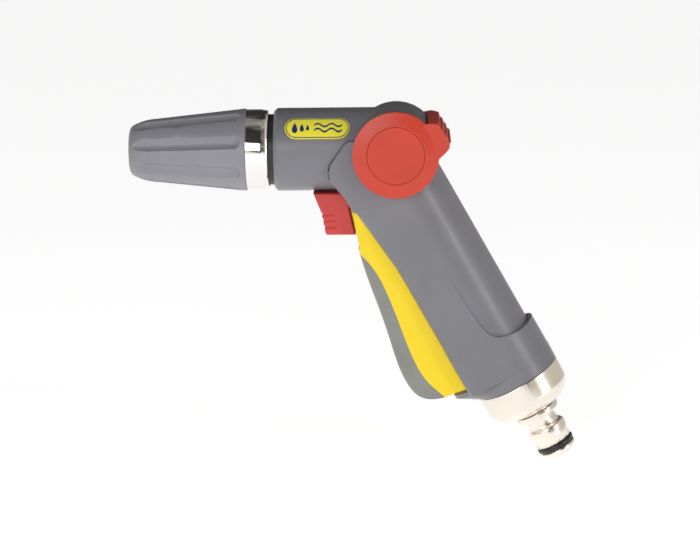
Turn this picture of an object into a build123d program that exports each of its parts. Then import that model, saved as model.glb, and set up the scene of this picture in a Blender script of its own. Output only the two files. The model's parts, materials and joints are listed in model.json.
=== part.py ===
"""Hose spray gun: twist nozzle, flow disc, squeeze lever, lever catch and quick-connect hose tail.

The frame stands on the hose tail: the origin is the middle of its locking ridge, +Z is up,
-X is the way the water leaves, and -Y is the gun's left side.
"""

import os
from math import cos, radians, sin

from build123d import *

os.makedirs("parts", exist_ok=True)

# ---------------------------------------------------------------- driving sizes (mm, degrees)
handle_lean = 60.8          # handle axis below the horizontal
pivot_height = 139.5        # flow pivot above the hose tail's ridge, along the handle
pivot_setback = 3.75        # flow pivot behind the handle's axis
grip_half_width = 18.7

# the handle's outlines are drawn for one pivot height, and stretch between two heights for others
drawn_pivot_height = 139.5
stretch_bottom = 55.0
stretch_top = 88.0

seat_gap = 0.05             # between pieces fixed to each other
running_gap = 0.06          # radial, between a shaft and its hole
free_gap = 0.6              # between pieces that pass each other

# barrel
barrel_radius = 17.6
barrel_wall = 2.4
barrel_front = 51.5         # barrel's front face ahead of the flow pivot
barrel_front_wall = 2.5
barrel_chamfer = 1.3
neck_radius = barrel_radius - 2.6
neck_length = 7.0

# twist nozzle: places ahead of the flow pivot, and radii
nozzle_rear = barrel_front + 11.9
nozzle_shoulder = nozzle_rear + 38.1
nozzle_corner = nozzle_rear + 48.0
nozzle_face = nozzle_rear + 49.8
nozzle_rear_radius = barrel_radius - 0.1
nozzle_shoulder_radius = nozzle_rear_radius - 4.0
nozzle_corner_radius = nozzle_rear_radius - 6.6
flute_count = 8
flute_radius = 3.4
flute_lift = 1.9            # flute cutter's centre above the nozzle's surface
flute_rear = nozzle_rear + 5.1
flute_turn = 17.5           # first flute above the left side
ring_radius = nozzle_rear_radius - 0.4
ring_rear_radius = ring_radius - 0.6
ring_length = 9.4
ring_bore_radius = neck_radius + 0.5
spindle_radius = 9.0
spindle_front = nozzle_rear + 28.6
spindle_bore_radius = 4.5
sleeve_radius = 11.0
sleeve_front = nozzle_rear + 40.6
mouth_radius = 7.0
jet_radius = 8.5
jet_length = 5.5
throat_radius = 2.6
seal_wire = 0.9             # section radius of the sliding seal

# flow control: hub, plug and discs
hub_radius = barrel_radius + 0.3
hub_half = grip_half_width + 0.7
hub_wall = 2.5
plug_radius = 8.0
plug_journal = plug_radius - 3.0
housing_radius = plug_radius + 4.0
port_radius = plug_radius / 2
disc_radius = hub_radius + 0.2
right_disc_radius = hub_radius - 1.5
disc_back = hub_half + 0.5
disc_face = disc_back + 4.1
disc_bevel_depth = 1.3
cap_radius = disc_radius - 6.0
cap_margin = 0.5            # flat left between the cap and the disc's bevel
cap_thickness = 1.2
tab_thickness = 3.2
bridge_gap = 0.9            # between the thumb bridge and the hub
bridge_ribs = 4

# handle casing
grip_rear = 16.4            # back of the upper handle behind the handle's axis
grip_front = -20.5
grip_front_top = -25.6      # front face where the handle meets the barrel
grip_corner = 5.0
cheek_rounding = 0.9
grip_wall = 2.6
grip_foot = 33.8            # bottom of the lever opening, above the ridge
grip_bend = pivot_height - 43.5
grip_top = pivot_height + 7.5
boot_rear = 18.8
boot_half_width = grip_half_width + 0.9
base_radius = grip_half_width + 0.2
base_bottom = 27.0
toe_reach = 27.6            # front of the toe ahead of the handle's axis
toe_radius = 12.0

# lever
lever_half_width = grip_half_width - 4.7
lever_wall = 3.0
lever_rounding = 6.0
lever_toe_depth = 16.0      # below the last section of the lever's front
lever_pivot_front = 15.0    # lever pin ahead of the handle's axis
lever_pivot_height = pivot_height - 17.0
pin_radius = 2.0
pad_thickness = 2.0

# lever catch under the barrel
catch_half_width = 8.6
catch_lug_half = 4.5
catch_pivot_front = 20.5    # catch pin ahead of the flow pivot
catch_pivot_drop = 13.6
catch_pin_radius = 1.5

# lever valve and pipes
valve_height = pivot_height - 35.5
valve_radius = 10.0
valve_front = -13.0
valve_rear = 9.0
valve_seat = -3.0
chamber_radius = 7.5
outlet_chamber_radius = 5.0
stem_radius = 2.5
stem_reach = 26.6           # stem tip ahead of the handle's axis
washer_radius = 6.5
spring_wire = 0.7
spring_radius = 4.6
spring_turns = 3.0
lower_pipe_radius = 5.5
lower_pipe_bore = 4.0
lower_port = 4.0            # lower pipe's socket behind the handle's axis
upper_pipe_radius = 4.0
upper_pipe_bore = 3.0
upper_port = -7.4
outlet_pipe_radius = 6.5

# hose end
collar_radius = base_radius - 0.15
collar_bottom = 12.0
spigot_radius = 10.0
spigot_top = 34.5
tail_bore_radius = 4.5
tail_ridge_radius = 8.5
tail_ridge_length = 3.0
tail_neck_radius = 6.6
tail_land_radius = 8.0
tail_tip = -11.0
tail_step_radius = 9.75
tail_thread_radius = 7.5
tail_seal_height = -6.8
tail_seal_wire = 1.3
tail_seal_rise = 0.4        # how far the seal stands out of the tail

# casing screws
screw_radius = 1.4
screw_head_radius = 2.7
screw_boss_radius = 3.0

# ---------------------------------------------------------------- frame
lean = radians(handle_lean)
up = Vector(-cos(lean), 0, sin(lean))
rear = Vector(sin(lean), 0, cos(lean))
pivot = up * pivot_height + rear * pivot_setback

handle_side = Plane(origin=(0, 0, 0), x_dir=rear, z_dir=(0, -1, 0))
barrel_side = Plane(origin=pivot, x_dir=(1, 0, 0), z_dir=(0, -1, 0))
handle_axis = Axis((0, 0, 0), up)
barrel_axis = Axis(pivot, (1, 0, 0))


def across(height):
    """Plane square to the handle: local x to the rear, local y to +Y."""
    return Plane(origin=up * height, x_dir=rear, z_dir=up)


def station(ahead):
    """Plane square to the barrel, facing +X: local x to +Y, local y up."""
    return Plane(origin=pivot - Vector(ahead, 0, 0), x_dir=(0, 1, 0), z_dir=(1, 0, 0))


def beside(distance):
    """Plane through the flow pivot's line, parallel to the side view, at Y = distance."""
    return Plane(origin=pivot + Vector(0, distance, 0), x_dir=(1, 0, 0), z_dir=(0, -1, 0))


def on_handle(behind, height):
    """Point on the middle plane, from its place behind the handle's axis and above the ridge."""
    return rear * behind + up * height


def raised(places):
    """Places drawn behind the handle's axis and above the ridge, stretched to the pivot's height."""
    growth = pivot_height - drawn_pivot_height
    reach = stretch_top - stretch_bottom
    return [
        (behind, height + growth * min(1, max(0, (height - stretch_bottom) / reach)))
        for behind, height in places
    ]


def turned(outline, plane, axis):
    """Solid of revolution from a closed outline of straight runs."""
    with BuildSketch(plane) as profile:
        with BuildLine():
            Polyline(*outline, close=True)
        make_face()
    revolve(profile.sketch, axis=axis)


def bar(start, end, radius, mode=Mode.ADD):
    """Round bar, or with Mode.SUBTRACT a bore, between two points."""
    with BuildSketch(Plane(origin=start, z_dir=end - start)) as section:
        Circle(radius)
    extrude(section.sketch, amount=(end - start).length, mode=mode)


def valve_bar(front, back, radius, mode=Mode.ADD):
    """Bar or bore along the valve, from its places behind the handle's axis."""
    bar(on_handle(front, valve_height), on_handle(back, valve_height), radius, mode)


def seal_ring(plane, centre_radius, wire_radius):
    """O-ring lying in a plane, about the plane's origin."""
    with BuildSketch(Plane(origin=plane.origin, x_dir=plane.x_dir, z_dir=plane.y_dir)) as section:
        with Locations((centre_radius, 0)):
            Circle(wire_radius)
    revolve(section.sketch, axis=Axis(plane.origin, plane.z_dir))


def write(piece, name):
    """Label one finished piece and write its file."""
    piece.part.label = name
    export_step(piece.part, f"parts/{name}.step")


def grip_section(height, front, back, half_width, corner):
    """Handle section: half-round at the back, flat sides, a flat front with round corners."""
    middle = back - half_width
    with BuildSketch(across(height)) as section:
        with BuildLine():
            Polyline((middle, half_width), (front, half_width), (front, -half_width), (middle, -half_width))
            ThreePointArc((middle, -half_width), (back, 0), (middle, half_width))
        make_face()
        fillet(section.vertices().sort_by(Axis.X)[:2], corner)
    return section.sketch


# ---------------------------------------------------------------- barrel group
# over the barrel the casing ends in a cheek, seen from the side as this outline
cheek_outline = [
    (-5.0, 5.3),
    (-19.4, 5.3),
    (-21.6, 4.1),
    (-24.6, -0.1),
    (-27.6, -4.3),
    (-28.1, -7.5),
    (-28.0, -11.3),
    (-25.6, -13.8),
    (-21.6, -18.6),
    (-18.0, -25.0),
    (-5.0, -25.0),
]
cheek_corner = 1.6
seam_width = 0.5            # groove in the barrel along the cheeks' edges
seam_depth = 0.7
deep = 40.0                 # more than the gun's width to either side

with BuildPart() as cheek_seam:
    with BuildSketch(barrel_side) as seam:
        Polygon(*cheek_outline, align=None)
        fillet(seam.vertices().sort_by(Axis.X)[:7], cheek_corner)
        offset(amount=seam_width)
        Polygon(*cheek_outline, align=None, mode=Mode.SUBTRACT)
        # no groove where the hub covers the barrel's end
        Rectangle(hub_radius, 2 * deep, mode=Mode.SUBTRACT)
    extrude(amount=deep, both=True)
    bar(pivot - Vector(60, 0, 0), pivot, barrel_radius - seam_depth, Mode.SUBTRACT)

barrel_bore = barrel_radius - barrel_wall
barrel_rear = 4.0
barrel_inside = barrel_front - barrel_front_wall
slot_front, slot_rear = 36.5, 15.5     # opening in the barrel's underside for the catch's lug
with BuildPart() as barrel_casing:
    turned(
        [
            (-barrel_front, spindle_radius + running_gap),
            (-barrel_front, barrel_radius - barrel_chamfer),
            (-barrel_front + barrel_chamfer, barrel_radius),
            (-barrel_rear, barrel_radius),
            (-barrel_rear, barrel_bore),
            (-barrel_inside, barrel_bore),
            (-barrel_inside, spindle_radius + running_gap),
        ],
        barrel_side,
        barrel_axis,
    )
    with BuildSketch(beside(hub_half)):
        Circle(hub_radius + seat_gap)
    extrude(amount=2 * hub_half, mode=Mode.SUBTRACT)
    add(cheek_seam.part, mode=Mode.SUBTRACT)
    with BuildSketch(barrel_side):
        with Locations((-(slot_front + slot_rear) / 2, -barrel_radius)):
            Rectangle(slot_front - slot_rear, 2 * barrel_radius - 2 * catch_pivot_drop + 2 * pin_radius)
    extrude(amount=catch_lug_half + free_gap, both=True, mode=Mode.SUBTRACT)
    with BuildSketch(barrel_side):
        with Locations((-catch_pivot_front, -catch_pivot_drop)):
            Circle(catch_pin_radius + seat_gap)
    extrude(amount=catch_half_width + 0.9, both=True, mode=Mode.SUBTRACT)
write(barrel_casing, "barrel_casing")

with BuildPart() as neck_ring:
    turned(
        [
            (-barrel_front - neck_length, spindle_radius + seat_gap),
            (-barrel_front - neck_length, neck_radius - 0.8),
            (-barrel_front - neck_length + 0.8, neck_radius),
            (-barrel_front, neck_radius),
            (-barrel_front, spindle_radius + seat_gap),
        ],
        barrel_side,
        barrel_axis,
    )
write(neck_ring, "neck_ring")

flange_radius = barrel_bore - free_gap
flange_rear = barrel_inside - 2.2
socket_end = barrel_front - 1.4
spindle_rear = barrel_inside - 4.0
side_port = 1.5
side_port_place = spindle_front - 3.5
with BuildPart() as spindle:
    turned(
        [
            (-spindle_front, spindle_bore_radius),
            (-spindle_front, spindle_radius - 1.0),
            (-spindle_front + 1.0, spindle_radius),
            (-barrel_inside, spindle_radius),
            (-barrel_inside, flange_radius),
            (-flange_rear, flange_radius),
            (-flange_rear, spindle_radius),
            (-spindle_rear, spindle_radius),
            (-spindle_rear, outlet_pipe_radius + seat_gap),
            (-socket_end, outlet_pipe_radius + seat_gap),
            (-socket_end, spindle_bore_radius),
        ],
        barrel_side,
        barrel_axis,
    )
    with BuildSketch(Plane(origin=pivot - Vector(side_port_place, 0, 0), z_dir=(0, 0, 1))):
        Circle(side_port)
    extrude(amount=spindle_radius + 1, both=True, mode=Mode.SUBTRACT)
    with BuildSketch(Plane(origin=pivot - Vector(side_port_place, 0, 0), z_dir=(0, 1, 0))):
        Circle(side_port)
    extrude(amount=spindle_radius + 1, both=True, mode=Mode.SUBTRACT)
write(spindle, "nozzle_spindle")

cone_front = sleeve_front + jet_length - 1.2
with BuildPart() as spray_stem:
    turned(
        [
            (-spindle_front + 1.8, 0),
            (-spindle_front + 1.8, spindle_bore_radius - seat_gap),
            (-spindle_front, spindle_bore_radius - seat_gap),
            (-spindle_front, 5.4),
            (-spindle_front - 1.2, 5.4),
            (-spindle_front - 1.2, 3.0),
            (-sleeve_front + 2.0, 3.0),
            (-sleeve_front + 0.6, 4.4),
            (-sleeve_front - 0.4, 4.4),
            (-cone_front, throat_radius - 1.0),
            (-cone_front, 0),
        ],
        barrel_side,
        barrel_axis,
    )
write(spray_stem, "spray_stem")

# ---------------------------------------------------------------- twist nozzle group
sleeve_rear = nozzle_rear - 2.2
seal_place = nozzle_rear + 8.6
seal_centre = spindle_radius + 0.03 + seal_wire
groove_half = seal_wire + 0.08
groove_radius = seal_centre + seal_wire + 0.05
sleeve_bore = spindle_radius + running_gap
with BuildPart() as nozzle_sleeve:
    turned(
        [
            (-sleeve_front, jet_radius - 2.2),
            (-sleeve_front, sleeve_radius),
            (-sleeve_rear, sleeve_radius),
            (-sleeve_rear, sleeve_bore),
            (-seal_place + groove_half, sleeve_bore),
            (-seal_place + groove_half, groove_radius),
            (-seal_place - groove_half, groove_radius),
            (-seal_place - groove_half, sleeve_bore),
            (-spindle_front - 0.6, sleeve_bore),
            (-spindle_front - 2.6, jet_radius - 2.2),
        ],
        barrel_side,
        barrel_axis,
    )
write(nozzle_sleeve, "nozzle_sleeve")

with BuildPart() as nozzle_seal:
    seal_ring(station(seal_place), seal_centre, seal_wire)
write(nozzle_seal, "nozzle_seal")

jet_front = sleeve_front + jet_length
with BuildPart() as jet_insert:
    turned(
        [
            (-sleeve_front - seat_gap, 5.2),
            (-sleeve_front - seat_gap, jet_radius),
            (-jet_front, jet_radius),
            (-jet_front, throat_radius + 1.2),
            (-jet_front + 0.8, throat_radius),
            (-jet_front + 1.4, throat_radius),
        ],
        barrel_side,
        barrel_axis,
    )
write(jet_insert, "jet_insert")

grip_slope = (nozzle_rear_radius - nozzle_shoulder_radius) / (nozzle_shoulder - nozzle_rear)
with BuildPart() as nozzle_grip:
    with BuildSketch(barrel_side):
        with BuildLine():
            Line((-nozzle_rear, sleeve_radius + seat_gap), (-nozzle_rear, nozzle_rear_radius - 0.4))
            Line((-nozzle_rear, nozzle_rear_radius - 0.4), (-nozzle_rear - 0.4, nozzle_rear_radius))
            Line((-nozzle_rear - 0.4, nozzle_rear_radius), (-nozzle_shoulder, nozzle_shoulder_radius))
            ThreePointArc(
                (-nozzle_shoulder, nozzle_shoulder_radius),
                (-nozzle_shoulder - 5.6, nozzle_shoulder_radius - 0.9),
                (-nozzle_corner, nozzle_corner_radius),
            )
            ThreePointArc(
                (-nozzle_corner, nozzle_corner_radius),
                (-nozzle_face + 0.35, mouth_radius + 2.6),
                (-nozzle_face, mouth_radius + 1.0),
            )
            Polyline(
                (-nozzle_face, mouth_radius + 1.0),
                (-nozzle_face + 1.0, mouth_radius),
                (-jet_front, mouth_radius),
                (-jet_front, jet_radius + seat_gap),
                (-sleeve_front, jet_radius + seat_gap),
                (-sleeve_front, sleeve_radius + seat_gap),
                (-nozzle_rear, sleeve_radius + seat_gap),
            )
        make_face()
    revolve(axis=barrel_axis)
    for number in range(flute_count):
        turn = radians(flute_turn + number * 360 / flute_count)
        outwards = Vector(0, -cos(turn), sin(turn))
        rear_reach = nozzle_rear_radius - (flute_rear - nozzle_rear) * grip_slope + flute_lift
        front_reach = rear_reach - (nozzle_face + 4 - flute_rear) * grip_slope
        start = pivot - Vector(flute_rear, 0, 0) + outwards * rear_reach
        end = pivot - Vector(nozzle_face + 4, 0, 0) + outwards * front_reach
        with BuildSketch(Plane(origin=start, z_dir=end - start)):
            Circle(flute_radius)
        extrude(amount=(end - start).length, mode=Mode.SUBTRACT)
        with Locations(start):
            Sphere(flute_radius, mode=Mode.SUBTRACT)
write(nozzle_grip, "nozzle_grip")

ring_end = nozzle_rear - ring_length
with BuildPart() as nozzle_ring:
    turned(
        [
            (-nozzle_rear + seat_gap, sleeve_radius + seat_gap),
            (-nozzle_rear + seat_gap, ring_radius - 0.3),
            (-nozzle_rear + 0.35, ring_radius),
            (-ring_end - 3.0, ring_radius),
            (-ring_end - 0.5, ring_rear_radius + 0.1),
            (-ring_end, ring_rear_radius - 0.4),
            (-ring_end, ring_bore_radius),
            (-nozzle_rear + 2.2, ring_bore_radius),
            (-nozzle_rear + 2.2, sleeve_radius + seat_gap),
        ],
        barrel_side,
        barrel_axis,
    )
write(nozzle_ring, "nozzle_trim_ring")

# ---------------------------------------------------------------- flow control group
housing_half = hub_half - hub_wall - seat_gap
lower_joint = on_handle(lower_port, valve_height - chamber_radius - 0.8)
lower_foot = on_handle(0, spigot_top - 6.0)
upper_start = on_handle(upper_port, valve_height + chamber_radius + 0.4)
upper_way = (pivot - upper_start).normalized()
upper_end = pivot - upper_way * (plug_radius + 1.5)
outlet_start = pivot - Vector(plug_radius + 3.0, 0, 0)
outlet_end = pivot - Vector(socket_end, 0, 0)

with BuildPart() as flow_housing:
    with BuildSketch(beside(housing_half)):
        Circle(housing_radius)
    extrude(amount=2 * housing_half)
    bar(pivot, outlet_start - Vector(9.0, 0, 0), outlet_pipe_radius + 2.0)
    bar(pivot, upper_start + upper_way * 8.0, upper_pipe_radius + 2.0)
    with BuildSketch(beside(housing_half)):
        Circle(plug_radius + running_gap)
    extrude(amount=2 * housing_half, mode=Mode.SUBTRACT)
    bar(pivot, outlet_start, port_radius, Mode.SUBTRACT)
    bar(outlet_start, outlet_end, outlet_pipe_radius + seat_gap, Mode.SUBTRACT)
    bar(pivot, upper_end, upper_pipe_bore, Mode.SUBTRACT)
    bar(upper_end, upper_start, upper_pipe_radius + seat_gap, Mode.SUBTRACT)
write(flow_housing, "flow_valve_housing")

with BuildPart() as outlet_pipe:
    bar(outlet_start, outlet_end, outlet_pipe_radius)
    bar(outlet_start, outlet_end, spindle_bore_radius, Mode.SUBTRACT)
write(outlet_pipe, "outlet_pipe")

plug_seal_place = 12.0
plug_seal_centre = plug_radius + 0.03 - 1.0
plug_groove = plug_seal_centre - 1.0 - 0.03
plug_end = disc_face - 3.0
with BuildPart() as flow_plug:
    with BuildSketch(beside(housing_half - 0.2)):
        Circle(plug_radius)
    extrude(amount=2 * (housing_half - 0.2))
    with BuildSketch(beside(plug_end)):
        Circle(plug_journal)
    extrude(amount=2 * plug_end)
    for side in (-1, 1):
        with BuildSketch(beside(side * plug_seal_place + 1.1)):
            Circle(plug_radius + 1)
            Circle(plug_groove, mode=Mode.SUBTRACT)
        extrude(amount=2.2, mode=Mode.SUBTRACT)
        with BuildSketch(beside(side * plug_end)):
            Circle(screw_radius + seat_gap)
        extrude(amount=8.0 * side, mode=Mode.SUBTRACT)
    bar(pivot, pivot - Vector(plug_radius + 1, 0, 0), port_radius, Mode.SUBTRACT)
    bar(pivot, pivot - upper_way * (plug_radius + 1), upper_pipe_bore, Mode.SUBTRACT)
write(flow_plug, "flow_plug")

with BuildPart() as flow_plug_seals:
    for side in (-1, 1):
        ring_plane = Plane(origin=pivot + Vector(0, side * plug_seal_place, 0), z_dir=(0, 1, 0))
        seal_ring(ring_plane, plug_seal_centre, 1.0)
write(flow_plug_seals, "flow_plug_seals")

# the tab reaches back from the disc's rim; the bridge joins the two tabs over the hub
tab_outline = [
    (10.5, 11.0),
    (12.2, 12.9),
    (15.2, 13.4),
    (17.6, 12.9),
    (20.6, 8.6),
    (22.6, 5.0),
    (22.4, 2.9),
    (21.2, 1.4),
    (17.4, -2.2),
    (12.0, -2.2),
]
web_front = disc_back + 1.2
recess_floor = disc_face - cap_thickness - 0.1
for side, hand, radius in ((-1, "left", disc_radius), (1, "right", right_disc_radius)):
    # planes face -Y, so a distance out from the gun's middle is an amount of -side
    with BuildPart() as disc:
        with BuildSketch(beside(side * disc_back)):
            Circle(radius)
        extrude(amount=-side * (disc_face - disc_back))
        rim = disc.edges().filter_by(GeomType.CIRCLE).sort_by(Axis.Y)
        bevel = radius - cap_radius - cap_margin
        chamfer(rim[0] if side < 0 else rim[-1], disc_bevel_depth, bevel, reference=None)
        with BuildSketch(beside(side * disc_back)) as tab:
            Polygon(*tab_outline, align=None)
            fillet(tab.vertices().sort_by(Axis.X)[2:8], 0.9)
        extrude(amount=-side * tab_thickness)
        with BuildSketch(beside(side * recess_floor)):
            Circle(cap_radius + seat_gap)
        extrude(amount=-side * 3, mode=Mode.SUBTRACT)
        with BuildSketch(beside(side * web_front)):
            Circle(7.2)
        extrude(amount=-side * 3, mode=Mode.SUBTRACT)
        with BuildSketch(beside(side * (disc_back - 1))):
            Circle(plug_journal + seat_gap)
        extrude(amount=-side * 3, mode=Mode.SUBTRACT)
    write(disc, f"flow_disc_{hand}")

    with BuildPart() as cap:
        with BuildSketch(beside(side * (recess_floor + seat_gap))):
            Circle(cap_radius)
        extrude(amount=-side * (cap_thickness + 0.1))
        rim = cap.edges().filter_by(GeomType.CIRCLE).sort_by(Axis.Y)
        fillet(rim[0] if side < 0 else rim[-1], 0.45)
    write(cap, f"disc_cap_{hand}")

with BuildPart() as disc_screws:
    for side in (-1, 1):
        with BuildSketch(beside(side * (web_front + seat_gap))):
            Circle(6.2)
        extrude(amount=-side * 1.3)
        with BuildSketch(beside(side * (web_front + seat_gap))):
            Circle(screw_radius)
        extrude(amount=side * 7.0)
        with BuildSketch(beside(side * (web_front + 0.7))):
            RegularPolygon(1.6, 6)
        extrude(amount=-side * 2.0, mode=Mode.SUBTRACT)
write(disc_screws, "disc_screws")

bridge_half = disc_back - seat_gap
with BuildPart() as thumb_bridge:
    with BuildSketch(beside(bridge_half)) as bridge:
        Polygon(*tab_outline, align=None)
        fillet(bridge.vertices().sort_by(Axis.X)[2:8], 0.9)
        Circle(hub_radius + bridge_gap, mode=Mode.SUBTRACT)
    extrude(amount=2 * bridge_half)
    first_rib = Vector(17.8, 12.5)
    last_rib = Vector(22.3, 5.2)
    for number in range(bridge_ribs):
        place = first_rib + (last_rib - first_rib) * (number / (bridge_ribs - 1))
        with BuildSketch(beside(bridge_half - 1.6)):
            with Locations((place.X, place.Y)):
                Circle(0.85)
        extrude(amount=2 * (bridge_half - 1.6))
write(thumb_bridge, "thumb_bridge")

# ---------------------------------------------------------------- handle casing
# edge of the raised boot on the casing's side: behind the handle's axis, above the ridge
crease = raised([(-3.6, 98.0), (-3.2, 88.0), (-2.3, 74.0), (-1.3, 58.7), (0.6, 52.4), (5.0, 49.3)])
crease_back = [(5.0, 49.3), (11.0, 47.7), (24.0, 49.6)]
boot_front = -50.0
boot_foot = 20.0
boot_top = 50.0

with BuildPart() as boot:
    upper = grip_section(grip_bend, grip_front + 1.0, grip_rear - 0.4, grip_half_width - 0.15, grip_corner)
    lower = grip_section(boot_top, grip_front - 0.1, boot_rear, boot_half_width, grip_corner)
    loft([upper, lower])
    extrude(lower, amount=grip_foot - 1.0 - boot_top)
    with BuildSketch(handle_side):
        with BuildLine():
            Spline(*crease)
            Spline(*crease_back)
            Polyline(
                crease_back[-1],
                (crease_back[-1][0], boot_foot),
                (boot_front, boot_foot),
                (boot_front, crease[0][1]),
                crease[0],
            )
        make_face()
    extrude(amount=deep, both=True, mode=Mode.INTERSECT)

with BuildPart() as base:
    with BuildSketch(across(base_bottom)):
        Circle(collar_radius)
    with BuildSketch(across(base_bottom + 5.0)):
        Circle(base_radius)
        with Locations((toe_radius - toe_reach, 0)):
            Circle(toe_radius)
        make_hull()
    loft()
    with BuildSketch(across(base_bottom + 5.0)):
        Circle(base_radius)
        with Locations((toe_radius - toe_reach, 0)):
            Circle(toe_radius)
        make_hull()
    extrude(amount=grip_foot - base_bottom - 5.0)

with BuildPart() as cheeks:
    with BuildSketch(barrel_side) as cheek:
        Polygon(*cheek_outline, align=None)
        fillet(cheek.vertices().sort_by(Axis.X)[:7], cheek_corner)
    extrude(amount=grip_half_width, both=True)
    rims = cheeks.edges().group_by(Axis.Y)
    fillet(rims[0] + rims[-1], cheek_rounding)
    with BuildSketch(station(40.0)):
        Circle(grip_half_width)
        with Locations((0, -deep / 2)):
            Rectangle(2 * grip_half_width, deep)
    extrude(amount=deep, mode=Mode.INTERSECT)

with BuildPart() as casing_form:
    bend = grip_section(grip_bend, grip_front, grip_rear, grip_half_width, grip_corner)
    top = grip_section(grip_top, grip_front_top, grip_rear, grip_half_width, grip_corner)
    loft([bend, top])
    extrude(bend, amount=grip_foot - 1.0 - grip_bend)
    add(cheeks.part)
    add(boot.part)
    add(base.part)
    bar(pivot - Vector(60, 0, 0), pivot, barrel_radius + seat_gap, Mode.SUBTRACT)
    with BuildSketch(beside(hub_half)):
        Circle(hub_radius)
    extrude(amount=2 * hub_half)

with BuildPart() as casing_core:
    wall = grip_wall
    inner = grip_half_width - wall
    corner = grip_corner - wall
    back = grip_rear - wall
    bend = grip_section(grip_bend, grip_front + wall, back, inner, corner)
    top = grip_section(grip_top - 6.0, grip_front_top + wall, back - 1.5, inner, corner)
    loft([bend, top])
    extrude(bend, amount=grip_foot + 1.0 - grip_bend)
    with BuildSketch(beside(hub_half - hub_wall)):
        Circle(hub_radius - hub_wall)
    extrude(amount=2 * (hub_half - hub_wall))
    bar(pivot - Vector(40, 0, 0), pivot, outlet_pipe_radius + 2.0 + free_gap)

screw_places = raised([(11.0, 117.5), (11.3, 70.0), (10.0, 45.0), (-20.0, 30.4)])
lever_slot_half = lever_half_width + 0.5
saddle_place = 2.0
saddle_width = 4.0
# bosses for the screws, the lever pin and the valve
with BuildPart() as casing_bosses:
    with BuildSketch(handle_side):
        with Locations(*screw_places[:3]):
            Circle(screw_boss_radius)
        with Locations((-lever_pivot_front, lever_pivot_height)):
            Circle(2 * pin_radius)
        with Locations((saddle_place, valve_height)):
            Rectangle(saddle_width, 14.0)
    extrude(amount=grip_half_width, both=True)
    add(casing_form.part, mode=Mode.INTERSECT)

with BuildPart() as casing_shell:
    add(casing_form.part)
    add(casing_core.part, mode=Mode.SUBTRACT)
    # opening in the front for the lever and the catch
    with BuildSketch(handle_side):
        with BuildLine():
            Polyline(
                (-60, grip_foot + 0.2),
                (-15, grip_foot + 0.2),
                (-15, pivot_height + 1.5),
                (-60, pivot_height + 1.5),
                close=True,
            )
        make_face()
    extrude(amount=lever_slot_half, both=True, mode=Mode.SUBTRACT)
    add(casing_bosses.part)
    valve_bar(valve_front, valve_rear, valve_radius + seat_gap, Mode.SUBTRACT)
    with BuildSketch(handle_side):
        with Locations((-lever_pivot_front, lever_pivot_height)):
            Circle(2 * pin_radius + 1)
    extrude(amount=lever_slot_half, both=True, mode=Mode.SUBTRACT)
    # holes: lever pin, plug journal, inlet spigot
    with BuildSketch(handle_side):
        with Locations((-lever_pivot_front, lever_pivot_height)):
            Circle(pin_radius + seat_gap)
    extrude(amount=grip_half_width - 1.6, both=True, mode=Mode.SUBTRACT)
    with BuildSketch(beside(hub_half + 1)):
        Circle(plug_journal + running_gap)
    extrude(amount=2 * hub_half + 2, mode=Mode.SUBTRACT)
    with BuildSketch(across(base_bottom - 1)):
        Circle(spigot_radius + seat_gap)
    extrude(amount=grip_foot - base_bottom + 4, mode=Mode.SUBTRACT)
    # screw holes, with the heads sunk in the right side
    for behind, height in screw_places:
        with BuildSketch(handle_side):
            with Locations((behind, height)):
                Circle(screw_radius + seat_gap)
        extrude(amount=-30, mode=Mode.SUBTRACT)
        with BuildSketch(handle_side):
            with Locations((behind, height)):
                Circle(screw_radius + seat_gap)
        extrude(amount=9, mode=Mode.SUBTRACT)
        with BuildSketch(handle_side.offset(-9.0)):
            with Locations((behind, height)):
                Circle(screw_head_radius + 0.3)
        extrude(amount=-30, mode=Mode.SUBTRACT)

for hand, keep in (("left", Keep.BOTTOM), ("right", Keep.TOP)):
    with BuildPart() as shell:
        add(casing_shell.part)
        split(bisect_by=Plane(origin=(0, 0, 0), x_dir=(1, 0, 0), z_dir=(0, 1, 0)), keep=keep)
    write(shell, f"handle_shell_{hand}")

with BuildPart() as casing_screws:
    for behind, height in screw_places:
        with BuildSketch(handle_side.offset(8.5)):
            with Locations((behind, height)):
                Circle(screw_radius)
        extrude(amount=-17.6)
        with BuildSketch(handle_side.offset(-9.0 - seat_gap)):
            with Locations((behind, height)):
                Circle(screw_head_radius)
                RegularPolygon(1.2, 4, mode=Mode.SUBTRACT)
        extrude(amount=-1.8)
        with BuildSketch(handle_side.offset(-9.0 - seat_gap)):
            with Locations((behind, height)):
                Circle(screw_head_radius)
        extrude(amount=-0.8)
write(casing_screws, "casing_screws")

# ---------------------------------------------------------------- lever and pad
lever_front = raised([
    (-25.4, 128.4),
    (-29.2, 116.6),
    (-34.3, 95.0),
    (-37.6, 76.0),
    (-40.6, 62.0),
    (-41.9, 51.5),
    (-40.0, 43.4),
    (-34.0, 38.7),
    (-26.0, 37.0),
])
lever_back = raised([
    (-26.0, 37.0),
    (-20.2, 36.0),
    (-17.6, 41.0),
    (-17.2, 100.0),
    (-12.6, 116.0),
    (-10.2, 122.0),
    (-12.4, 127.0),
    (-15.0, 128.0),
    (-25.4, 128.4),
])
pad_edge = raised([
    (-31.6, 109.7),
    (-28.9, 99.4),
    (-29.4, 88.0),
    (-31.0, 76.7),
    (-32.8, 65.7),
    (-33.9, 54.3),
    (-33.5, 48.0),
    (-31.1, 40.1),
    (-29.6, 36.0),
])


def lever_outline(inset=0.0):
    """Side outline of the lever; an inset sets its front and its toe further in."""
    shift = rear * inset + up * (0.7 * inset)
    with BuildSketch(Plane(origin=shift, x_dir=rear, z_dir=(0, -1, 0))) as outline:
        with BuildLine():
            Spline(*lever_front)
            Polyline(*lever_back)
        make_face()
    return outline.sketch


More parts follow.
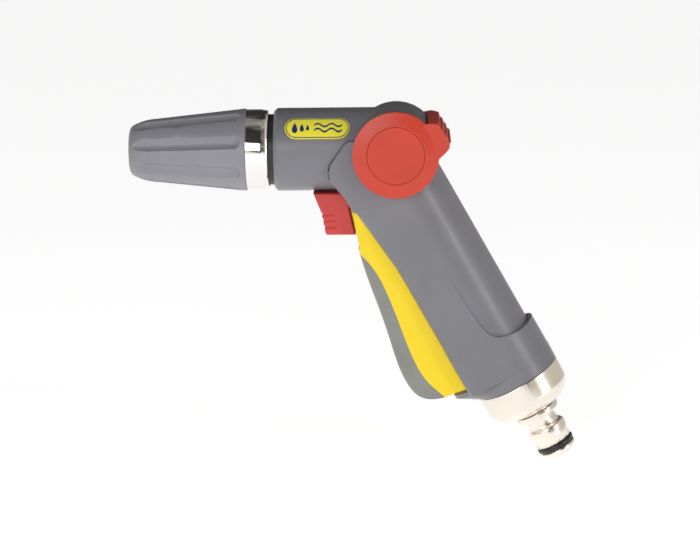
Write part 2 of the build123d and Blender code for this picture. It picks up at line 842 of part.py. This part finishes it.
def lever_block(inset=0.0):
    """Rounded block under the lever's side outline, added to the part being built."""
    half_width = lever_half_width - inset
    sections = []
    for front, height in lever_front[:6]:
        with BuildSketch(across(height)) as section:
            with Locations(((front + inset) / 2, 0)):
                Rectangle(-front - inset, 2 * half_width)
            fillet(section.vertices().sort_by(Axis.X)[:2], lever_rounding - inset)
        sections.append(section.sketch)
    loft(sections)
    extrude(sections[-1], amount=-lever_toe_depth)
    extrude(lever_outline(inset), amount=deep, both=True, mode=Mode.INTERSECT)


with BuildPart() as lever_form:
    lever_block()

with BuildPart() as pad_region:
    with BuildSketch(handle_side):
        with BuildLine():
            Spline(*pad_edge)
            Polyline(pad_edge[-1], (-60, pad_edge[-1][1]), (-60, pad_edge[0][1]), pad_edge[0])
        make_face()
    extrude(amount=deep, both=True)

with BuildPart() as pad_core:
    lever_block(pad_thickness)

with BuildPart() as trigger_pad:
    add(lever_form.part)
    add(pad_region.part, mode=Mode.INTERSECT)
    add(pad_core.part, mode=Mode.SUBTRACT)
write(trigger_pad, "trigger_pad")

push_face = stem_reach + 0.35
web_top = pivot_height - 28.5   # the lever's front wall starts below the catch
with BuildPart() as trigger_lever:
    add(lever_form.part)
    add(trigger_pad.part, mode=Mode.SUBTRACT)
    # hollow behind the front wall
    with BuildSketch(handle_side):
        with BuildLine():
            Polyline(
                (-27.6, web_top),
                *raised([
                    (-30.6, 96.0),
                    (-34.0, 76.0),
                    (-36.6, 62.0),
                    (-37.2, 50.0),
                    (-33.0, 42.0),
                    (-10.0, 38.6),
                    (0.0, 60.0),
                ]),
                (0.0, web_top),
                close=True,
            )
        make_face()
    extrude(amount=lever_half_width - lever_wall, both=True, mode=Mode.SUBTRACT)
    # fork around the catch
    with BuildSketch(handle_side):
        Polygon((-45, web_top), (0, web_top), (0, pivot_height), (-45, pivot_height), align=None)
    extrude(amount=lever_half_width - lever_wall, both=True, mode=Mode.SUBTRACT)
    # post that pushes the valve stem
    valve_bar(-29.2, -push_face, 3.5)
    with BuildSketch(handle_side):
        with Locations((-lever_pivot_front, lever_pivot_height)):
            Circle(pin_radius + running_gap)
    extrude(amount=deep, both=True, mode=Mode.SUBTRACT)
write(trigger_lever, "trigger_lever")

with BuildPart() as lever_pin:
    with BuildSketch(handle_side):
        with Locations((-lever_pivot_front, lever_pivot_height)):
            Circle(pin_radius)
    extrude(amount=grip_half_width - 1.7, both=True)
write(lever_pin, "lever_pin")

# ---------------------------------------------------------------- catch
catch_outline = [
    (-35.2, -17.9),
    (-33.4, -22.5),
    (-31.9, -26.2),
    (-30.2, -35.0),
    (-29.4, -35.8),
    (-17.4, -35.8),
    (-19.8, -25.0),
    (-20.0, -17.9),
]
groove_depth = 0.5
with BuildPart() as trigger_catch:
    with BuildSketch(barrel_side) as side_view:
        Polygon(*catch_outline, align=None)
    extrude(amount=catch_half_width, both=True)
    grip_edges = trigger_catch.edges().filter_by(
        lambda edge: abs(abs(edge.center().Y) - catch_half_width) < 0.01
    )
    fillet(grip_edges, 0.8)
    for drop in (27.0, 29.6, 32.4):
        with BuildSketch(barrel_side):
            with Locations((-32.0 + (drop - 26.2) * 0.19, -drop)):
                Circle(0.75)
        extrude(amount=catch_half_width + 1, both=True, mode=Mode.SUBTRACT)
        # the grip's grooves run back along both sides
        for side in (-1, 1):
            with BuildSketch(beside(side * (catch_half_width + 1))):
                with Locations((-30.0 + (drop - 26.2) * 0.19, -drop)):
                    SlotOverall(7.0, 1.2)
            extrude(amount=side * (1 + groove_depth), mode=Mode.SUBTRACT)
    with BuildSketch(barrel_side):
        with Locations((-catch_pivot_front, -catch_pivot_drop)):
            Circle(2 * catch_pin_radius)
        Polygon((-25.5, -18.5), (-23.3, -13.6), (-17.8, -13.6), (-20.2, -18.5), align=None)
    extrude(amount=catch_lug_half, both=True)
    with BuildSketch(barrel_side):
        with Locations((-catch_pivot_front, -catch_pivot_drop)):
            Circle(catch_pin_radius + running_gap)
    extrude(amount=deep, both=True, mode=Mode.SUBTRACT)
write(trigger_catch, "trigger_catch")

with BuildPart() as catch_pin:
    with BuildSketch(barrel_side):
        with Locations((-catch_pivot_front, -catch_pivot_drop)):
            Circle(catch_pin_radius)
    extrude(amount=catch_half_width + 0.8, both=True)
write(catch_pin, "catch_pin")

# ---------------------------------------------------------------- lever valve
with BuildPart() as valve_body:
    valve_bar(valve_front, valve_rear, valve_radius)
    bar(lower_joint, lower_joint - up * 8.0, lower_pipe_radius + 2.0)
    valve_bar(valve_seat, valve_rear, chamber_radius, Mode.SUBTRACT)
    valve_bar(valve_front + 3.5, valve_seat, outlet_chamber_radius, Mode.SUBTRACT)
    valve_bar(valve_front, valve_seat, stem_radius + running_gap, Mode.SUBTRACT)
    bar(lower_foot, lower_joint, lower_pipe_radius + seat_gap, Mode.SUBTRACT)
    bar(lower_foot, lower_joint + (lower_joint - lower_foot).normalized() * 3, lower_pipe_bore,
        Mode.SUBTRACT)
    bar(upper_start, pivot, upper_pipe_radius + seat_gap, Mode.SUBTRACT)
    bar(upper_start - upper_way * 3, pivot, upper_pipe_bore, Mode.SUBTRACT)
write(valve_body, "valve_body")

cap_inner = valve_rear - 1.4
with BuildPart() as valve_cap:
    valve_bar(cap_inner, valve_rear + seat_gap, chamber_radius - seat_gap)
    valve_bar(valve_rear + seat_gap, valve_rear + 1.2, valve_radius - 2.0)
write(valve_cap, "valve_cap")

head_front = valve_seat + seat_gap + 1.5
head_rear = head_front + 1.5
with BuildPart() as valve_plunger:
    valve_bar(-stem_reach + 1.0, head_front, stem_radius)
    valve_bar(head_front, head_rear, washer_radius)
    valve_bar(head_rear, head_rear + 1.2, 3.4)
    with Locations(on_handle(-stem_reach + stem_radius, valve_height)):
        Sphere(stem_radius)
write(valve_plunger, "valve_plunger")

with BuildPart() as valve_washer:
    valve_bar(head_front - 1.5, head_front - 0.01, washer_radius)
    valve_bar(head_front - 2, head_front, stem_radius + 0.02, Mode.SUBTRACT)
write(valve_washer, "valve_washer")

spring_length = cap_inner - head_rear - spring_wire - 0.2
with BuildPart() as valve_spring:
    spring_base = on_handle(head_rear + 0.1 + spring_wire / 2, valve_height)
    with BuildLine() as coil:
        Helix(spring_length / spring_turns, spring_length, spring_radius, center=spring_base, direction=rear)
    with BuildSketch(Plane(origin=coil.line @ 0, z_dir=coil.line % 0)):
        Circle(spring_wire / 2)
    sweep()
write(valve_spring, "valve_spring")

for name, start, end, outside, bore in (
    ("water_pipe_lower", lower_foot, lower_joint, lower_pipe_radius, lower_pipe_bore),
    ("water_pipe_upper", upper_start, upper_end, upper_pipe_radius, upper_pipe_bore),
):
    with BuildPart() as pipe:
        bar(start, end, outside)
        bar(start, end, bore, Mode.SUBTRACT)
    write(pipe, name)

# ---------------------------------------------------------------- hose end
collar_edge = collar_bottom + 7.0
with BuildPart() as inlet_collar:
    with BuildSketch(handle_side):
        with BuildLine():
            Polyline(
                (spigot_radius - 2.5, spigot_top),
                (spigot_radius, spigot_top),
                (spigot_radius, base_bottom - seat_gap),
                (collar_radius - 0.5, base_bottom - seat_gap),
                (collar_radius, base_bottom - 0.6),
                (collar_radius, collar_edge),
            )
            ThreePointArc((collar_radius, collar_edge), (16.4, 14.2), (12.4, collar_bottom))
            Polyline(
                (12.4, collar_bottom),
                (tail_thread_radius + seat_gap, collar_bottom),
                (tail_thread_radius + seat_gap, collar_bottom + 9.5),
                (tail_bore_radius, collar_bottom + 9.5),
                (tail_bore_radius, spigot_top - 8.0),
                (spigot_radius - 2.5, spigot_top - 5.0),
                (spigot_radius - 2.5, spigot_top),
            )
        make_face()
    revolve(axis=handle_axis)
    bar(lower_foot, lower_joint, lower_pipe_radius + seat_gap, Mode.SUBTRACT)
write(inlet_collar, "inlet_collar")

ridge_half = tail_ridge_length / 2
seal_groove = tail_land_radius + tail_seal_rise - 2 * tail_seal_wire - 0.02
with BuildPart() as hose_tail:
    turned(
        [
            (tail_bore_radius, collar_bottom + 9.0),
            (tail_thread_radius, collar_bottom + 9.0),
            (tail_thread_radius, 10.6),
            (tail_step_radius - 0.4, 10.6),
            (tail_step_radius, 10.2),
            (tail_step_radius, 8.4),
            (tail_step_radius - 0.5, 8.0),
            (tail_neck_radius, 7.4),
            (tail_neck_radius, 3.6),
            (tail_ridge_radius, ridge_half),
            (tail_ridge_radius, -ridge_half),
            (tail_land_radius, -ridge_half - 0.4),
            (tail_land_radius, tail_seal_height + tail_seal_wire + 0.1),
            (seal_groove, tail_seal_height + tail_seal_wire + 0.1),
            (seal_groove, tail_seal_height - tail_seal_wire - 0.1),
            (tail_land_radius, tail_seal_height - tail_seal_wire - 0.1),
            (tail_land_radius, tail_tip + 1.4),
            (tail_land_radius - 1.3, tail_tip),
            (tail_bore_radius, tail_tip),
        ],
        handle_side,
        handle_axis,
    )
write(hose_tail, "hose_tail")

with BuildPart() as hose_tail_seal:
    seal_centre = tail_land_radius + tail_seal_rise - tail_seal_wire
    seal_ring(across(tail_seal_height), seal_centre, tail_seal_wire)
write(hose_tail_seal, "hose_tail_seal")

# ---------------------------------------------------------------- badges
badge_place = 32.9          # ahead of the flow pivot
badge_turn = 37.5           # above the barrel's side
badge_length = 27.4
badge_height = 9.8
badge_thickness = 0.45
for side, hand in ((-1, "left"), (1, "right")):
    turn = radians(badge_turn)
    outwards = Vector(0, side * cos(turn), sin(turn))
    with BuildPart() as badge:
        with BuildSketch(Plane(origin=pivot - Vector(badge_place, 0, 0), x_dir=(1, 0, 0), z_dir=outwards)):
            SlotOverall(badge_length, badge_height)
        extrude(amount=barrel_radius + 5)
        with BuildSketch(station(badge_place + badge_length)):
            Circle(barrel_radius + seat_gap + badge_thickness)
            Circle(barrel_radius + seat_gap, mode=Mode.SUBTRACT)
        extrude(amount=2 * badge_length, mode=Mode.INTERSECT)
    write(badge, f"badge_{hand}")
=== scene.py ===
"""Studio picture of the hose spray gun: materials, badge emblems, stage, lights and camera."""

import json
from math import atan2, cos, pi, radians, sin

import bmesh
import bpy
from mathutils import Matrix, Vector


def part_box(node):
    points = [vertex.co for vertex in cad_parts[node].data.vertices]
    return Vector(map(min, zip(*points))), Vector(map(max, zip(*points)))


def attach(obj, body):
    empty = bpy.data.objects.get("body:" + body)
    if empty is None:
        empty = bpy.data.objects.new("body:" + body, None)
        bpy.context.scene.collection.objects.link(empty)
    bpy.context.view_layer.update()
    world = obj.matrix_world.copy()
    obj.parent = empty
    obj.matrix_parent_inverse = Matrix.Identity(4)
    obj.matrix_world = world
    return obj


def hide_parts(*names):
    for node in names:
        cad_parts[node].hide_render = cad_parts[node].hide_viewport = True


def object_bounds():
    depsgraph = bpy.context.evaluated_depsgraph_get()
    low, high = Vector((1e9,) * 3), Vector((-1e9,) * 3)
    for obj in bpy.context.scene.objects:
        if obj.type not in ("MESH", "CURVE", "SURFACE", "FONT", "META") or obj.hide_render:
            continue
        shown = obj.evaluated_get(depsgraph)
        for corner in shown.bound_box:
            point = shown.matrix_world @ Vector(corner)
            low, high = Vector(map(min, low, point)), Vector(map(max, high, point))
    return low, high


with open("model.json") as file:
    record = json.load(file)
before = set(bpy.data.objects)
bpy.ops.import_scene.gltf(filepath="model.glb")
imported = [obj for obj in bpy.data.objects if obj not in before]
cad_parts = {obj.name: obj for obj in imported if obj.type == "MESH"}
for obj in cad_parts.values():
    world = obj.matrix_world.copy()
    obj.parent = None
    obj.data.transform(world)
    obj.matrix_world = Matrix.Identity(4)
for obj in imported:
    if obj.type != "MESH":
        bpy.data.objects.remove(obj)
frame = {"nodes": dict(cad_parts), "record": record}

cad_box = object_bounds()
nodes = frame["nodes"]
scene = bpy.context.scene
MM = 0.001


# ---------------------------------------------------------------- places read from the frame
def middle(node):
    """Centre of a CAD node's box."""
    low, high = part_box(node)
    return (Vector(low) + Vector(high)) / 2


flow_pivot = middle("flow_plug")
tail_way = Vector(frame["record"]["mounts"][0]["axis"]).normalized()


# ---------------------------------------------------------------- materials
def colour_of(slot):
    """Base colour of a material slot of the record."""
    return next(m["base_color"] for m in frame["record"]["materials"] if m["slot"] == slot)


class Surface:
    """A node material on one Principled shader, built up step by step."""

    def __init__(self, name, colour, roughness, metallic=0.0):
        self.material = bpy.data.materials.new(name)
        self.material.use_nodes = True
        self.tree = self.material.node_tree
        self.shader = self.tree.nodes["Principled BSDF"]
        self.shader.inputs["Base Color"].default_value = (*colour, 1)
        self.shader.inputs["Roughness"].default_value = roughness
        self.shader.inputs["Metallic"].default_value = metallic
        self.place = self.add("ShaderNodeTexCoord").outputs["Object"]
        self.colour = colour
        self.roughness = roughness
        self.normal = None

    def add(self, kind, **inputs):
        """New node with some of its inputs set."""
        node = self.tree.nodes.new(kind)
        for name, value in inputs.items():
            node.inputs[name.replace("_", " ")].default_value = value
        return node

    def link(self, output, target):
        self.tree.links.new(output, target)

    def noise(self, size, detail=3.0, stretch=(1, 1, 1), turn=(0, 0, 0)):
        """Noise with features about size millimetres across, longer where stretch is over 1."""
        mapping = self.add("ShaderNodeMapping")
        mapping.vector_type = "TEXTURE"
        mapping.inputs["Rotation"].default_value = turn
        mapping.inputs["Scale"].default_value = stretch
        self.link(self.place, mapping.inputs["Vector"])
        noise = self.add("ShaderNodeTexNoise", Scale=1 / (size * MM), Detail=detail)
        self.link(mapping.outputs["Vector"], noise.inputs["Vector"])
        return noise.outputs["Fac"]

    def blend(self, factor, low, high, start=0.35, end=0.65):
        """Colours from low to high as a factor goes from start to end."""
        ramp = self.add("ShaderNodeValToRGB")
        ramp.color_ramp.elements[0].position = start
        ramp.color_ramp.elements[1].position = end
        ramp.color_ramp.elements[0].color = (*low, 1)
        ramp.color_ramp.elements[1].color = (*high, 1)
        self.link(factor, ramp.inputs["Fac"])
        return ramp.outputs["Color"]

    def vary_colour(self, size, amount, tint=None):
        """Slow drift of the colour by an amount, towards a tint if one is given."""
        darker = tuple(c * (1 - amount) for c in self.colour)
        lighter = tint or tuple(min(1, c * (1 + amount)) for c in self.colour)
        output = self.blend(self.noise(size), darker, lighter)
        self.link(output, self.shader.inputs["Base Color"])
        return self

    def vary_roughness(self, size, amount, stretch=(1, 1, 1), turn=(0, 0, 0)):
        """Patches a little glossier or duller."""
        spread = self.add("ShaderNodeMapRange")
        spread.inputs["To Min"].default_value = max(0.02, self.roughness - amount)
        spread.inputs["To Max"].default_value = min(1.0, self.roughness + amount)
        self.link(self.noise(size, 4.0, stretch, turn), spread.inputs["Value"])
        self.link(spread.outputs["Result"], self.shader.inputs["Roughness"])
        return self

    def grain(self, size, height, stretch=(1, 1, 1), turn=(0, 0, 0), detail=2.0):
        """Fine relief, height in millimetres; several can be laid over each other."""
        bump = self.add("ShaderNodeBump", Strength=1.0, Distance=height * MM)
        self.link(self.noise(size, detail, stretch, turn), bump.inputs["Height"])
        if self.normal is not None:
            self.link(self.normal, bump.inputs["Normal"])
        self.normal = bump.outputs["Normal"]
        self.link(self.normal, self.shader.inputs["Normal"])
        return self

# brushing runs round the hose end, whose axis leans this far from upright
tail_turn = (0, atan2(-tail_way.x, -tail_way.z), 0)
brushed = (14, 14, 0.6)

# the reds, the yellows and the emblem's blue are matched; the rest start from the record
surfaces = {
    "body_grey": Surface("Grey Moulding", [c * 0.95 for c in colour_of("body_grey")], 0.33)
    .vary_colour(22, 0.035).vary_roughness(9, 0.05).grain(0.35, 0.012).grain(6, 0.02),
    "nozzle_grey": Surface("Grey Soft Moulding", [c * 1.22 for c in colour_of("body_grey")], 0.40)
    .vary_colour(14, 0.04).vary_roughness(6, 0.05).grain(0.3, 0.014),
    "pad_grey": Surface("Soft Grey Rubber", colour_of("pad_grey"), 0.58)
    .vary_colour(12, 0.05).vary_roughness(5, 0.06).grain(0.28, 0.02).grain(3, 0.02),
    "red": Surface("Red Moulding", [0.60, 0.045, 0.018], 0.36)
    .vary_colour(16, 0.05).vary_roughness(7, 0.06).grain(0.4, 0.008).grain(5, 0.02),
    "catch_red": Surface("Red Catch Moulding", [0.66, 0.05, 0.045], 0.34)
    .vary_colour(10, 0.06).vary_roughness(5, 0.05).grain(0.4, 0.008),
    "yellow": Surface("Yellow Moulding", [0.99, 0.72, 0.004], 0.4)
    .vary_colour(20, 0.02).vary_roughness(8, 0.05).grain(0.4, 0.007).grain(6, 0.02),
    "badge": Surface("Badge Yellow", [1.0, 0.88, 0.06], 0.2)
    .vary_colour(8, 0.015).vary_roughness(4, 0.03).grain(2, 0.004),
    "emblem": Surface("Emblem Blue", [0.012, 0.035, 0.17], 0.25)
    .vary_colour(4, 0.06).vary_roughness(3, 0.04).grain(1, 0.003),
    "nickel": Surface("Satin Nickel", colour_of("nickel"), 0.25, 1.0)
    .vary_colour(18, 0.02).vary_roughness(1.2, 0.07, brushed, tail_turn)
    .grain(0.5, 0.0016, brushed, tail_turn).grain(9, 0.01),
    "chrome": Surface("Polished Chrome", colour_of("chrome"), 0.05, 1.0)
    .vary_colour(20, 0.02).vary_roughness(3, 0.025).grain(7, 0.006),
    "black": Surface("Black Moulding", colour_of("black"), 0.42)
    .vary_colour(6, 0.1).vary_roughness(4, 0.06).grain(0.4, 0.008),
    "seal": Surface("Black Seal Rubber", colour_of("seal"), 0.32)
    .vary_colour(3, 0.15).vary_roughness(2, 0.08).grain(0.3, 0.006),
    "steel": Surface("Zinc Plated Steel", colour_of("steel"), 0.3, 1.0)
    .vary_colour(4, 0.04).vary_roughness(1.5, 0.08).grain(0.6, 0.004),
    "brass": Surface("Machined Brass", colour_of("brass"), 0.27, 1.0)
    .vary_colour(5, 0.05).vary_roughness(0.9, 0.08, (1, 14, 14))
    .grain(0.5, 0.003, (0.6, 14, 14)),
    "inner": Surface("Natural Moulding", colour_of("inner"), 0.45)
    .vary_colour(10, 0.04).vary_roughness(6, 0.06).grain(0.5, 0.01),
}
own_surface = {"nozzle_grip": "nozzle_grey", "trigger_catch": "catch_red"}
smooth_angle = radians(32)
weld_distance = 0.0005 * MM


def dress(piece, surface):
    """Give a piece one of the surfaces."""
    piece.data.materials.clear()
    piece.data.materials.append(surfaces[surface].material)


bodies = frame["record"]["behaviour"]["bodies"]
body_of = {node: body for body, held in bodies.items() for node in held}


def skin(node, slot):
    """Piece shown in place of a CAD node: welded and shaded smooth, with crisp edges."""
    mesh = bmesh.new()
    mesh.from_mesh(nodes[node].data)
    bmesh.ops.remove_doubles(mesh, verts=mesh.verts, dist=weld_distance)
    data = bpy.data.meshes.new(node + "_skin")
    mesh.to_mesh(data)
    mesh.free()
    data.polygons.foreach_set("use_smooth", [True] * len(data.polygons))
    data.set_sharp_from_angle(angle=smooth_angle)
    piece = bpy.data.objects.new(node + "_skin", data)
    scene.collection.objects.link(piece)
    piece.modifiers.new("weights", "WEIGHTED_NORMAL").keep_sharp = True
    dress(piece, own_surface.get(node, slot))
    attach(piece, body_of[node])
    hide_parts(node)


turned_pieces = (
    "nozzle_grip",
    "nozzle_trim_ring",
    "nozzle_sleeve",
    "jet_insert",
    "neck_ring",
    "inlet_collar",
    "hose_tail",
    "hose_tail_seal",
    "disc_cap_left",
    "disc_cap_right",
)
for part in frame["record"]["subparts"]:
    node, slot = part["node"], part["material_slot"]
    dress(nodes[node], own_surface.get(node, slot))
    if node in turned_pieces:
        skin(node, slot)


# ---------------------------------------------------------------- badge emblems
emblem_lift = 0.01          # millimetres above the badge
emblem_thickness = 0.08


class Wrapped:
    """Thin raised shapes wrapped on the barrel over one badge, in millimetres from its middle."""

    def __init__(self, name, badge):
        low, high = (Vector(corner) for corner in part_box(badge))
        side = middle(badge).y
        outer = max((vertex.co - flow_pivot).yz.length for vertex in nodes[badge].data.vertices)
        self.radius = outer + emblem_lift * MM
        self.hand = 1 if side < 0 else -1
        self.turn = atan2(middle(badge).z - flow_pivot.z, abs(side))
        self.middle_x = (low.x + high.x) / 2
        self.length = (high.x - low.x) / MM
        self.height = Vector((high.y - low.y, high.z - low.z)).length / MM
        self.name = name
        self.mesh = bmesh.new()

    def point(self, along, across):
        """Vertex at a place on the badge: along to its reader's right, across upwards."""
        turn = self.turn + across * MM / self.radius
        return self.mesh.verts.new((
            self.middle_x + self.hand * along * MM,
            -self.hand * self.radius * cos(turn),
            flow_pivot.z + self.radius * sin(turn),
        ))

    def strip(self, inner, outer, closed):
        """Faces between two lines of places."""
        first = [self.point(*place) for place in inner]
        second = [self.point(*place) for place in outer]
        for here in range(len(first) - (0 if closed else 1)):
            there = (here + 1) % len(first)
            self.mesh.faces.new((first[here], first[there], second[there], second[here]))

    def fill(self, outline, centre, rings=5):
        """Filled shape about a centre that sees its whole outline."""
        for ring in range(rings):
            inside, outside = (max(0.02, step / rings) for step in (ring, ring + 1))
            self.strip(*([
                (centre[0] + (x - centre[0]) * share, centre[1] + (y - centre[1]) * share)
                for x, y in outline
            ] for share in (inside, outside)), True)

    def finish(self, thickness):
        data = bpy.data.meshes.new(self.name)
        bmesh.ops.remove_doubles(self.mesh, verts=self.mesh.verts, dist=0.002 * MM)
        bmesh.ops.recalc_face_normals(self.mesh, faces=self.mesh.faces)
        for face in self.mesh.faces:
            outwards = face.calc_center_median() - flow_pivot
            if face.normal.yz.dot(outwards.yz) < 0:
                face.normal_flip()
        self.mesh.to_mesh(data)
        self.mesh.free()
        piece = bpy.data.objects.new(self.name, data)
        scene.collection.objects.link(piece)
        solid = piece.modifiers.new("thickness", "SOLIDIFY")
        solid.thickness = thickness * MM
        solid.offset = 1.0
        return piece


def pill(length, height, steps=14):
    """Outline of a pill shape about the middle."""
    radius = height / 2
    places = []
    for end in (1, -1):
        for step in range(steps + 1):
            turn = -pi / 2 + pi * step / steps
            along = length / 2 - radius + radius * cos(turn)
            places.append((end * along, end * radius * sin(turn)))
    return places


def drop(centre_x, size, steps=28):
    """Outline of a falling drop, its point at the top."""
    places = []
    for step in range(steps):
        turn = 2 * pi * step / steps
        width = size * 0.62 * sin(turn) * sin(turn / 2) ** 1.3
        places.append((centre_x + width, size * cos(turn)))
    return places


def wave(start, end, height, rise, length, steps=36):
    """Middle line of a wave between two places along the badge."""
    places = []
    for step in range(steps + 1):
        along = start + (end - start) * step / steps
        places.append((along, height + rise * sin(2 * pi * (along - start) / length)))
    return places


def emblem(hand):
    """Border, three drops and two waves on one badge."""
    border_inset, border_width = 1.6, 0.7
    drops = ((-9.4, 2.5), (-6.4, 1.9), (-4.0, 1.4))     # place along the badge, size
    drop_centre = -0.35                                 # share of a drop's size, up from its middle
    wave_start, wave_end, wave_rise, wave_length = -1.2, 10.4, 0.75, 5.8
    wave_levels = (-1.2, 1.2)
    half_line = 0.42

    marks = Wrapped(f"badge_emblem_{hand}", f"badge_{hand}")
    length, height = marks.length - border_inset, marks.height - border_inset
    marks.strip(pill(length, height), pill(length + border_width, height + border_width), True)
    for place, size in drops:
        marks.fill(drop(place, size), (place, drop_centre * size))
    for level in wave_levels:
        line = wave(wave_start, wave_end, level, wave_rise, wave_length)
        below = [(x, y - half_line) for x, y in line]
        above = [(x, y + half_line) for x, y in line]
        marks.strip(below, above, False)
    piece = marks.finish(emblem_thickness)
    dress(piece, "emblem")
    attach(piece, "gun")


for hand in ("left", "right"):
    emblem(hand)

# ---------------------------------------------------------------- stage and lights
floor_level = cad_box[0][2]
floor_size = 9.0
floor_glow = 0.72
room_light = 0.2


def floor(size):
    """Plain pale floor under the gun, glowing a little so that it stays near white."""
    data = bpy.data.meshes.new("floor")
    half = size / 2
    corners = [(-half, -half), (half, -half), (half, half), (-half, half)]
    data.from_pydata([(flow_pivot.x + x, y, floor_level) for x, y in corners], [], [(0, 1, 2, 3)])
    piece = bpy.data.objects.new("floor", data)
    scene.collection.objects.link(piece)
    paper = Surface("Pale Floor", (0.95, 0.95, 0.95), 0.9)
    paper.vary_colour(400, 0.01).grain(30, 0.02)
    paper.shader.inputs["Emission Color"].default_value = (1, 1, 1, 1)
    paper.shader.inputs["Emission Strength"].default_value = floor_glow
    data.materials.append(paper.material)


def softbox(name, place, target, size, power, colour=(1, 1, 1)):
    """Soft area light at a place relative to the flow pivot, facing a target beside it."""
    data = bpy.data.lights.new(name, "AREA")
    data.shape = "RECTANGLE"
    data.size, data.size_y = size
    data.energy = power
    data.color = colour
    lamp = bpy.data.objects.new(name, data)
    scene.collection.objects.link(lamp)
    lamp.location = flow_pivot + Vector(place)
    way = flow_pivot + Vector(target) - lamp.location
    lamp.rotation_euler = way.to_track_quat("-Z", "Y").to_euler()


def surroundings(strength):
    """Dim room, white to the camera; what shines mirrors dark bands, pale gaps and pale walls."""
    world = bpy.data.worlds.new("studio")
    scene.world = world
    world.use_nodes = True
    tree = world.node_tree
    background = tree.nodes["Background"]
    background.inputs["Strength"].default_value = 1.0

    way = tree.nodes.new("ShaderNodeTexCoord").outputs["Generated"]
    noise = tree.nodes.new("ShaderNodeTexNoise")
    noise.inputs["Scale"].default_value = 1.6
    noise.inputs["Detail"].default_value = 1.0
    tree.links.new(way, noise.inputs["Vector"])
    split = tree.nodes.new("ShaderNodeSeparateXYZ")
    tree.links.new(way, split.inputs["Vector"])
    wobble = tree.nodes.new("ShaderNodeMath")
    wobble.operation = "MULTIPLY_ADD"
    wobble.inputs[1].default_value = 0.5
    tree.links.new(noise.outputs["Fac"], wobble.inputs[0])
    height = tree.nodes.new("ShaderNodeMath")
    height.operation = "MULTIPLY_ADD"
    height.inputs[1].default_value = 0.5
    height.inputs[2].default_value = 0.25
    tree.links.new(split.outputs["Z"], height.inputs[0])
    tree.links.new(height.outputs["Value"], wobble.inputs[2])
    ramp = tree.nodes.new("ShaderNodeValToRGB")
    bands = [
        (0.0, 0.9),
        (0.44, 0.8),
        (0.48, 0.06),
        (0.64, 0.03),
        (0.67, 0.4),
        (0.71, 0.05),
        (0.88, 0.03),
        (0.95, 0.4),
        (1.0, 0.2),
    ]
    for place, value in bands[1:-1]:
        ramp.color_ramp.elements.new(place).color = (value, value * 0.95, value * 0.86, 1)
    for end, (_, value) in ((0, bands[0]), (-1, bands[-1])):
        ramp.color_ramp.elements[end].color = (value, value * 0.95, value * 0.86, 1)
    tree.links.new(wobble.outputs["Value"], ramp.inputs["Fac"])

    sideways = tree.nodes.new("ShaderNodeMath")
    sideways.operation = "ABSOLUTE"
    tree.links.new(split.outputs["X"], sideways.inputs[0])
    spread = tree.nodes.new("ShaderNodeMapRange")
    spread.inputs["From Min"].default_value = 0.25
    spread.inputs["From Max"].default_value = 0.6
    tree.links.new(sideways.outputs["Value"], spread.inputs["Value"])
    walls = tree.nodes.new("ShaderNodeMix")
    walls.data_type = "RGBA"
    walls.inputs["B"].default_value = (0.62, 0.58, 0.52, 1)
    tree.links.new(spread.outputs["Result"], walls.inputs["Factor"])
    tree.links.new(ramp.outputs["Color"], walls.inputs["A"])

    rays = tree.nodes.new("ShaderNodeLightPath")
    mirrored = tree.nodes.new("ShaderNodeMix")
    mirrored.data_type = "RGBA"
    mirrored.inputs["A"].default_value = (strength, strength, strength, 1)
    tree.links.new(rays.outputs["Is Glossy Ray"], mirrored.inputs["Factor"])
    tree.links.new(walls.outputs["Result"], mirrored.inputs["B"])
    seen = tree.nodes.new("ShaderNodeMix")
    seen.data_type = "RGBA"
    seen.inputs["B"].default_value = (1, 1, 1, 1)
    tree.links.new(rays.outputs["Is Camera Ray"], seen.inputs["Factor"])
    tree.links.new(mirrored.outputs["Result"], seen.inputs["A"])
    tree.links.new(seen.outputs["Result"], background.inputs["Color"])


scene.view_settings.view_transform = "Standard"
floor(floor_size)
surroundings(room_light)
softbox("front_box", (-0.45, -1.1, 0.32), (0, 0, -0.05), (0.9, 0.45), 4.6)
softbox("rear_edge_box", (0.9, -0.6, 0.15), (0, 0, -0.05), (0.12, 0.9), 3.0)

# ---------------------------------------------------------------- camera
# a long lens on the gun's left, looking a little down; lengths in metres unless said
camera_distance = 1.0324
camera_turn = radians(1.5)
camera_drop = radians(11.0)
camera_roll = radians(0.7)
aim = flow_pivot + Vector((-20.26, 0, -56.93)) * MM
sensor_width = 36.0         # millimetres
field_width = 0.3011        # width seen at the camera's distance
level_share = cos(camera_drop)
away = Vector((
    sin(camera_turn) * level_share,
    -cos(camera_turn) * level_share,
    sin(camera_drop),
))

data = bpy.data.cameras.new("camera")
data.sensor_width = sensor_width
data.lens = sensor_width * camera_distance / field_width
data.clip_start = 0.01
camera = bpy.data.objects.new("camera", data)
scene.collection.objects.link(camera)
turn = away.to_track_quat("Z", "Y").to_matrix() @ Matrix.Rotation(-camera_roll, 3, "Z")
camera.matrix_world = Matrix.Translation(aim + away * camera_distance) @ turn.to_4x4()
scene.camera = camera
